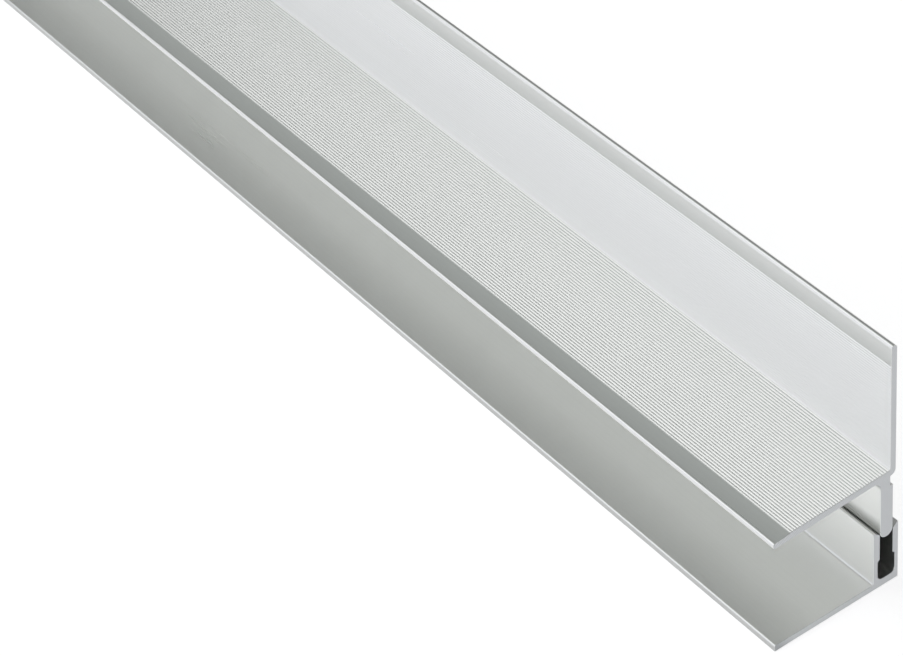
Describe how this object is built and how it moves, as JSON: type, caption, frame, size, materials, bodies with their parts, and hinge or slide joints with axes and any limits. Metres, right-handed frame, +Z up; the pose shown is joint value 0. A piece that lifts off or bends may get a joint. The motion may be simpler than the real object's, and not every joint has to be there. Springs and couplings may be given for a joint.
{
  "type": "aluminium extrusion profile",
  "caption": "Long aluminium floor edge profile: a base with a foot and a socket takes the tongue of a ribbed angled cover, which presses down to suit the floor's thickness.",
  "frame": {"origin": "middle of the box around the part, on the floor under the foot", "axes": "+X along the stock, +Y towards the outer faces that stand at the wall, +Z up"},
  "size_m": [0.9, 0.0248, 0.0475],
  "materials": {
    "aluminium": "satin as extruded, saw-cut ends"
  },
  "bodies": {
    "base": {"base_profile": "aluminium"},
    "cover": {"cover_profile": "aluminium"}
  },
  "joints": [
    {"name": "cover_press", "type": "slide", "parent": "base", "child": "cover", "axis": [0, 0, 1], "range_m": [-0.008, 0]}
  ]
}
